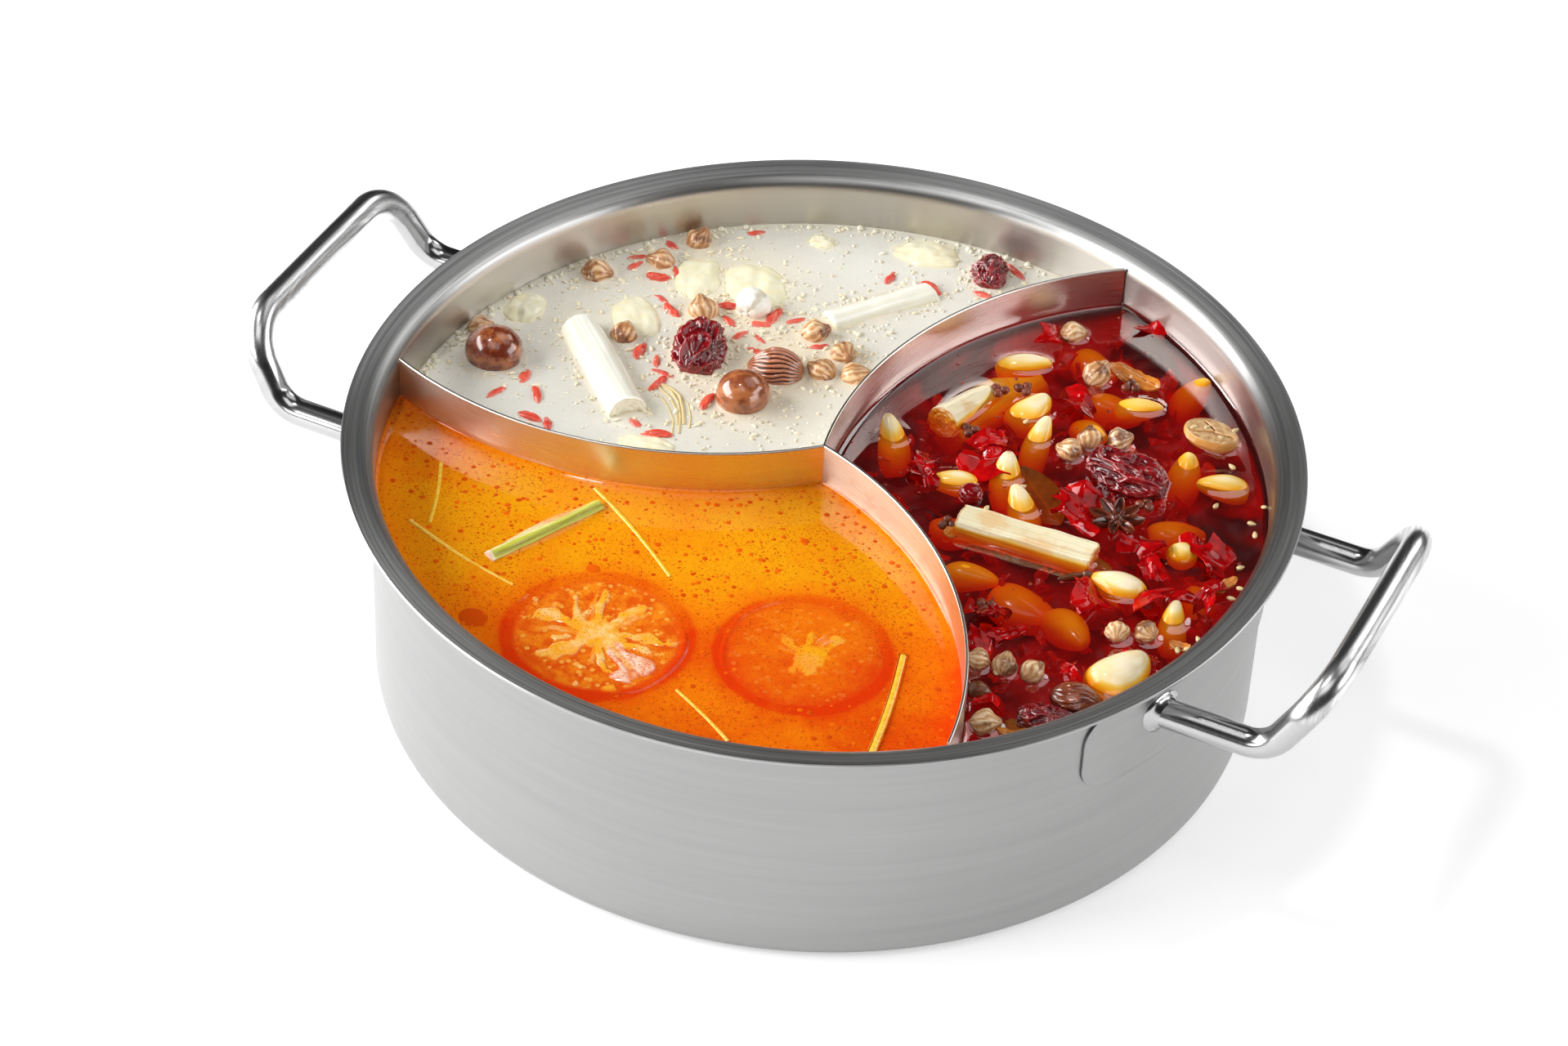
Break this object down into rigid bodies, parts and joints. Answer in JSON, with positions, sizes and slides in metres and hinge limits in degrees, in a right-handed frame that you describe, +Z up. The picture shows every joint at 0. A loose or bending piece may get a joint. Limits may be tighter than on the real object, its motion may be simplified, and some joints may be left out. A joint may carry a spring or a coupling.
{
  "type": "three-compartment hot pot with broths",
  "caption": "Round steel pot with two loop handles and curved dividers, filled with a milky, a tomato and a red oil broth with floating spices.",
  "frame": {"origin": "middle of the pot's flat base, on the surface it stands on", "axes": "+X through the middle of the right handle, +Y across the handles, +Z up"},
  "size_m": [0.3988, 0.32, 0.1029],
  "materials": {
    "brushed_steel": "fine horizontal brushing, satin",
    "polished_steel": "polished stainless rod",
    "milky_broth": "wet, opaque milky broth with tiny fat beads",
    "tomato_broth": "wet orange broth with oil droplets",
    "red_broth": "clear deep red oil",
    "nutmeg": "wet brown nut shell",
    "jujube": "wrinkled glossy dark red skin",
    "seed_pod": "ribbed papery pod, wet",
    "scallion": "pale fibrous stalk",
    "tomato": "wet tomato flesh",
    "green_stem": "wet green stem",
    "garlic": "smooth wet clove"
  },
  "bodies": {
    "root": {"pot_body": "brushed_steel", "divider_vane_1": "brushed_steel", "divider_vane_2": "brushed_steel", "divider_vane_3": "brushed_steel", "handle_plate_right": "brushed_steel", "handle_plate_left": "brushed_steel", "handle_right": "polished_steel", "handle_left": "polished_steel", "broth_milky": "milky_broth", "broth_tomato": "tomato_broth", "broth_red": "red_broth", "nutmeg_left": "nutmeg", "nutmeg_middle": "nutmeg", "nutmeg_ridged": "nutmeg", "nutmeg_red": "nutmeg", "jujube_milky_near": "jujube", "jujube_milky_far": "jujube", "jujube_red_far": "jujube", "jujube_red_near": "jujube", "white_cardamom": "seed_pod", "pod_milky_1": "seed_pod", "pod_milky_2": "seed_pod", "pod_milky_3": "seed_pod", "pod_milky_4": "seed_pod", "pod_milky_5": "seed_pod", "pod_milky_6": "seed_pod", "pod_milky_7": "seed_pod", "pod_milky_8": "seed_pod", "pod_milky_9": "seed_pod", "pod_red_1": "seed_pod", "pod_red_2": "seed_pod", "pod_red_3": "seed_pod", "pod_red_4": "seed_pod", "pod_red_5": "seed_pod", "pod_red_6": "seed_pod", "pod_red_7": "seed_pod", "pod_red_8": "seed_pod", "pod_red_9": "seed_pod", "pod_red_10": "seed_pod", "pod_red_11": "seed_pod", "scallion_milky_near": "scallion", "scallion_milky_far": "scallion", "scallion_red_far": "scallion", "scallion_red_near": "scallion", "tomato_slice_left": "tomato", "tomato_slice_right": "tomato", "green_stem": "green_stem", "garlic_1": "garlic", "garlic_2": "garlic", "garlic_3": "garlic", "garlic_4": "garlic", "garlic_5": "garlic", "garlic_6": "garlic", "garlic_7": "garlic", "garlic_8": "garlic", "garlic_9": "garlic", "garlic_10": "garlic", "garlic_11": "garlic", "garlic_12": "garlic", "garlic_half": "garlic"}
  },
  "joints": []
}
